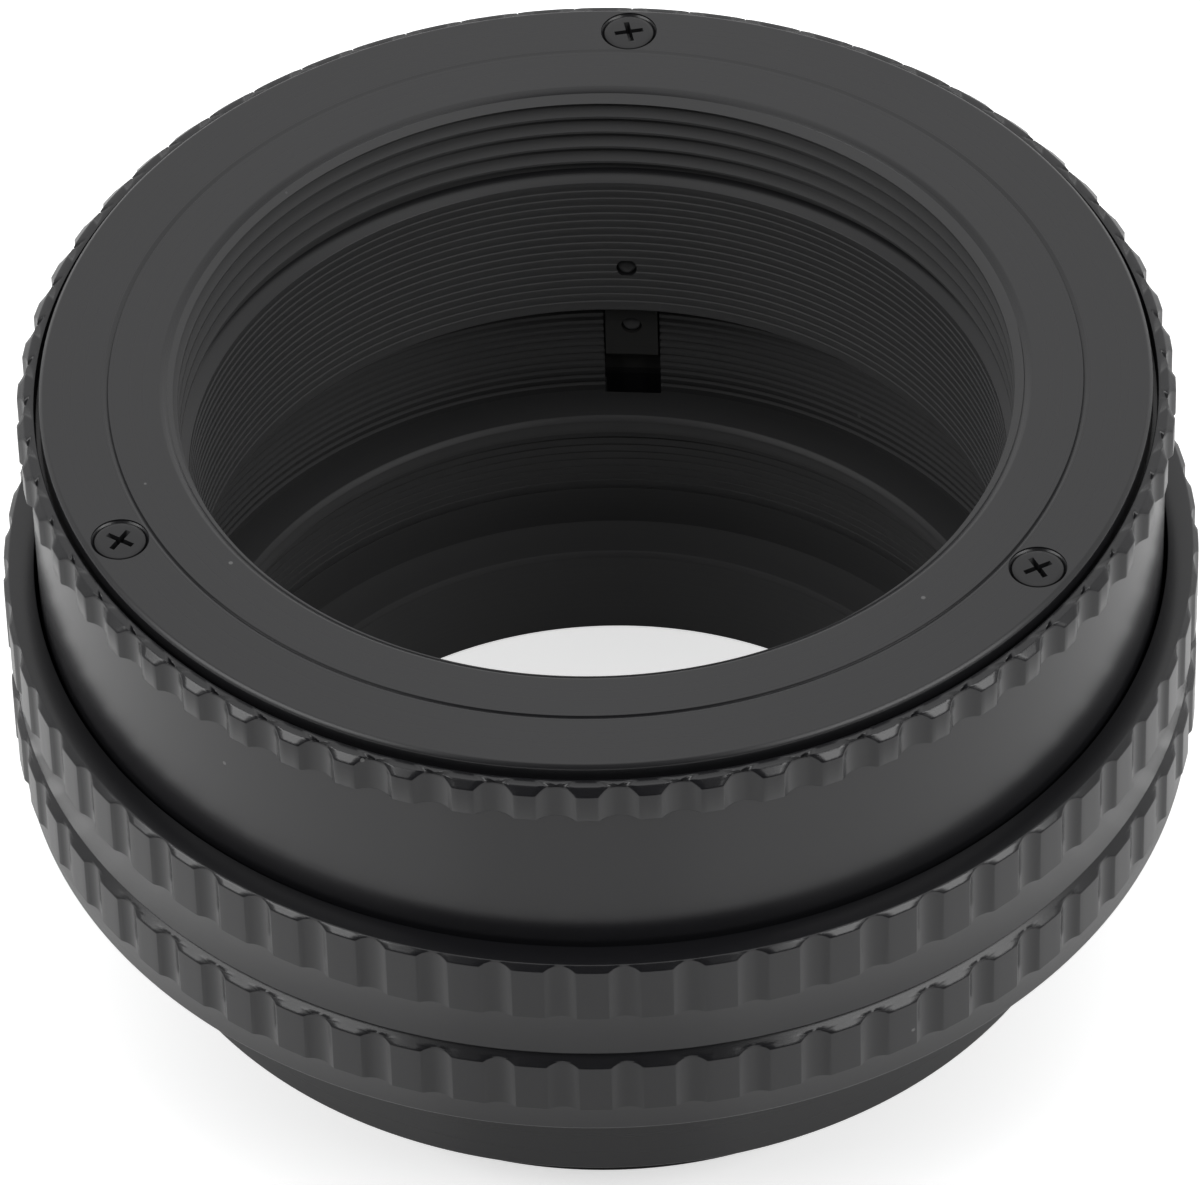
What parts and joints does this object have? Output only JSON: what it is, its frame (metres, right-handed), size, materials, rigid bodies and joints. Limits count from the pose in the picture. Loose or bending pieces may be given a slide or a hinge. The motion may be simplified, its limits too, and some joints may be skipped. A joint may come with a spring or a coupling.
{
  "type": "focusing helicoid adapter",
  "caption": "Round lens adapter with a fluted focus ring that turns on a helicoid and slides a keyed, threaded front mount along the optical axis.",
  "frame": {"origin": "centre of the rear thread's end face", "axes": "+Z along the optical axis towards the front mount; +Y towards the guide key and face screw seen at the back of the picture"},
  "size_m": [0.0594, 0.0594, 0.0355],
  "materials": {
    "black_anodised": "satin black anodised",
    "helicoid_brass": "blackened",
    "slip_plastic": "matt black",
    "black_steel": "black oxide"
  },
  "bodies": {
    "base": {"base_cup": "black_anodised", "guide_sleeve": "black_anodised", "retaining_ring": "helicoid_brass", "lower_slip_washer": "slip_plastic", "upper_slip_washer": "slip_plastic", "focus_stop_screw": "black_steel"},
    "focus": {"focus_grip": "black_anodised", "helicoid_sleeve": "helicoid_brass", "grip_screws": "black_steel"},
    "front": {"front_mount": "black_anodised", "front_barrel": "black_anodised", "plate_screws": "black_steel", "guide_key_back": "helicoid_brass", "guide_key_front": "helicoid_brass", "key_screws": "black_steel"}
  },
  "joints": [
    {"name": "focus_turn", "type": "hinge", "parent": "base", "child": "focus", "pos_m": [0, 0, 0.0185], "axis": [0, 0, 1], "range_deg": [-279, 0]},
    {"name": "barrel_slide", "type": "slide", "parent": "base", "child": "front", "axis": [0, 0, 1], "range_m": [-0.007, 0]}
  ],
  "couplings": [
    {"joint": "barrel_slide", "follows": "focus_turn", "m_per_rad": 0.0014324}
  ]
}
